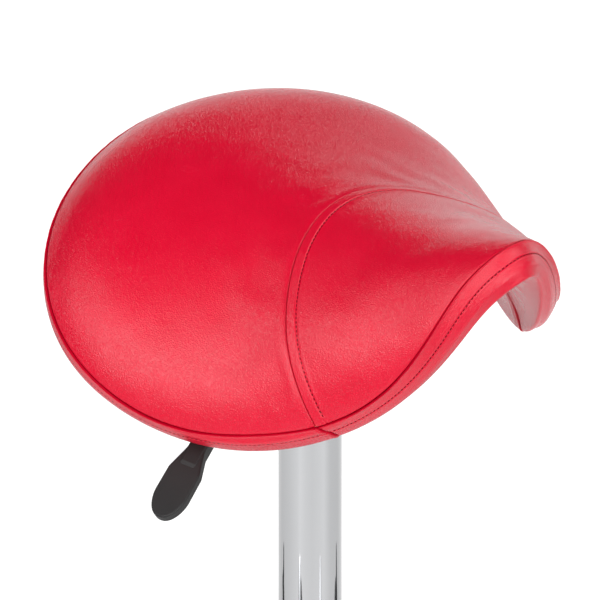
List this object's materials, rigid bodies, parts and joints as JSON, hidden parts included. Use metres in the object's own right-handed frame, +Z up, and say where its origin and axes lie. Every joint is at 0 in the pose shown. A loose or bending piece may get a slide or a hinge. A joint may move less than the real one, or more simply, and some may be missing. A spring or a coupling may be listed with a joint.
{
  "type": "saddle stool",
  "caption": "Height-adjustable saddle stool: padded leather saddle seat on a swivelling gas lift with a release paddle, over a chromed star base on twin-wheel castors.",
  "frame": {"origin": "on the floor, on the axis of the column", "axes": "+Z up along the column; the seat's horn points along -Y and the release paddle is on the sitter's right, -X"},
  "size_m": [0.5435, 0.5669, 0.6499],
  "materials": {
    "chrome": "polished",
    "bright_steel": "satin",
    "black_painted_steel": "satin",
    "black_plastic": "satin",
    "button_steel": "satin",
    "wheel_plastic": "satin",
    "black_rubber": "matte",
    "plywood": "matte",
    "foam": "matte",
    "red_leather": "satin",
    "black_nonwoven": "matte"
  },
  "bodies": {
    "base": {"star_hub": "chrome", "star_arms": "chrome", "stem_sockets": "black_painted_steel", "column_tube": "chrome", "guide_bush": "black_plastic", "column_end_plate": "bright_steel", "bearing_washer_lower": "bright_steel", "bearing_balls": "bright_steel", "castor_stems": "bright_steel", "stem_grip_rings": "bright_steel"},
    "spindle": {"piston_rod": "bright_steel", "rod_clip": "bright_steel", "bearing_washer_upper": "bright_steel", "bumper": "black_rubber", "piston": "black_plastic", "piston_seal": "black_rubber"},
    "seat": {"pressure_tube": "chrome", "tube_gland": "black_plastic", "taper_socket": "black_painted_steel", "plate_channel": "black_painted_steel", "seat_plate": "black_painted_steel", "plate_bolts": "bright_steel", "plate_washers": "bright_steel", "threaded_inserts": "bright_steel", "lever_pivot_pin": "bright_steel", "mounting_board": "plywood", "seat_shell": "plywood", "foam_pad": "foam", "cover_rear_panel": "red_leather", "cover_front_panel": "red_leather", "border_strip_rear": "red_leather", "border_strip_front": "red_leather", "dust_cover": "black_nonwoven", "hem_staples": "bright_steel"},
    "lever": {"lever_rod": "black_painted_steel", "lever_paddle": "black_plastic"},
    "release_button": {"release_button": "button_steel"},
    "castor_1": {"castor_1_housing": "black_plastic", "castor_1_axle": "bright_steel"},
    "castor_1_left_wheel": {"castor_1_wheel_left": "wheel_plastic"},
    "castor_1_right_wheel": {"castor_1_wheel_right": "wheel_plastic"},
    "castor_2": {"castor_2_housing": "black_plastic", "castor_2_axle": "bright_steel"},
    "castor_2_left_wheel": {"castor_2_wheel_left": "wheel_plastic"},
    "castor_2_right_wheel": {"castor_2_wheel_right": "wheel_plastic"},
    "castor_3": {"castor_3_housing": "black_plastic", "castor_3_axle": "bright_steel"},
    "castor_3_left_wheel": {"castor_3_wheel_left": "wheel_plastic"},
    "castor_3_right_wheel": {"castor_3_wheel_right": "wheel_plastic"},
    "castor_4": {"castor_4_housing": "black_plastic", "castor_4_axle": "bright_steel"},
    "castor_4_left_wheel": {"castor_4_wheel_left": "wheel_plastic"},
    "castor_4_right_wheel": {"castor_4_wheel_right": "wheel_plastic"},
    "castor_5": {"castor_5_housing": "black_plastic", "castor_5_axle": "bright_steel"},
    "castor_5_left_wheel": {"castor_5_wheel_left": "wheel_plastic"},
    "castor_5_right_wheel": {"castor_5_wheel_right": "wheel_plastic"}
  },
  "joints": [
    {"name": "seat_swivel", "type": "hinge", "parent": "base", "child": "spindle", "pos_m": [0, 0, 0.0775], "axis": [0, 0, 1], "continuous": true},
    {"name": "height_slide", "type": "slide", "parent": "spindle", "child": "seat", "axis": [0, 0, 1], "range_m": [0, 0.2]},
    {"name": "lever_lift", "type": "hinge", "parent": "seat", "child": "lever", "pos_m": [-0.028, 0, 0.525], "axis": [0, 1, 0], "range_deg": [0, 3], "stiffness_Nm_per_rad": 1},
    {"name": "button_press", "type": "slide", "parent": "seat", "child": "release_button", "axis": [0, 0, -1], "range_m": [0, 0.002]},
    {"name": "castor_1_swivel", "type": "hinge", "parent": "base", "child": "castor_1", "pos_m": [0.18537, 0.18798, 0.055], "axis": [0, 0, 1], "continuous": true},
    {"name": "castor_1_left_wheel_spin", "type": "hinge", "parent": "castor_1", "child": "castor_1_left_wheel", "pos_m": [0.19865, 0.20293, 0.025], "axis": [-0.7478, 0.6639, 0], "continuous": true},
    {"name": "castor_1_right_wheel_spin", "type": "hinge", "parent": "castor_1", "child": "castor_1_right_wheel", "pos_m": [0.19865, 0.20293, 0.025], "axis": [-0.7478, 0.6639, 0], "continuous": true},
    {"name": "castor_2_swivel", "type": "hinge", "parent": "base", "child": "castor_2", "pos_m": [-0.12149, 0.23438, 0.055], "axis": [0, 0, 1], "continuous": true},
    {"name": "castor_2_left_wheel_spin", "type": "hinge", "parent": "castor_2", "child": "castor_2_left_wheel", "pos_m": [-0.11713, 0.2539, 0.025], "axis": [-0.9759, 0.2181, 0], "continuous": true},
    {"name": "castor_2_right_wheel_spin", "type": "hinge", "parent": "castor_2", "child": "castor_2_right_wheel", "pos_m": [-0.11713, 0.2539, 0.025], "axis": [-0.9759, 0.2181, 0], "continuous": true},
    {"name": "castor_3_swivel", "type": "hinge", "parent": "base", "child": "castor_3", "pos_m": [-0.26045, -0.04312, 0.055], "axis": [0, 0, 1], "continuous": true},
    {"name": "castor_3_left_wheel_spin", "type": "hinge", "parent": "castor_3", "child": "castor_3_left_wheel", "pos_m": [-0.26413, -0.06278, 0.025], "axis": [0.9829, -0.184, 0], "continuous": true},
    {"name": "castor_3_right_wheel_spin", "type": "hinge", "parent": "castor_3", "child": "castor_3_right_wheel", "pos_m": [-0.26413, -0.06278, 0.025], "axis": [0.9829, -0.184, 0], "continuous": true},
    {"name": "castor_4_swivel", "type": "hinge", "parent": "base", "child": "castor_4", "pos_m": [-0.03948, -0.26103, 0.055], "axis": [0, 0, 1], "continuous": true},
    {"name": "castor_4_left_wheel_spin", "type": "hinge", "parent": "castor_4", "child": "castor_4_left_wheel", "pos_m": [-0.0299, -0.24347, 0.025], "axis": [-0.878, 0.4787, 0], "continuous": true},
    {"name": "castor_4_right_wheel_spin", "type": "hinge", "parent": "castor_4", "child": "castor_4_right_wheel", "pos_m": [-0.0299, -0.24347, 0.025], "axis": [-0.878, 0.4787, 0], "continuous": true},
    {"name": "castor_5_swivel", "type": "hinge", "parent": "base", "child": "castor_5", "pos_m": [0.23606, -0.11821, 0.055], "axis": [0, 0, 1], "continuous": true},
    {"name": "castor_5_left_wheel_spin", "type": "hinge", "parent": "castor_5", "child": "castor_5_left_wheel", "pos_m": [0.22152, -0.13195, 0.025], "axis": [0.6871, -0.7266, 0], "continuous": true},
    {"name": "castor_5_right_wheel_spin", "type": "hinge", "parent": "castor_5", "child": "castor_5_right_wheel", "pos_m": [0.22152, -0.13195, 0.025], "axis": [0.6871, -0.7266, 0], "continuous": true}
  ],
  "couplings": [
    {"joint": "button_press", "follows": "lever_lift", "m_per_rad": 0.0315}
  ]
}
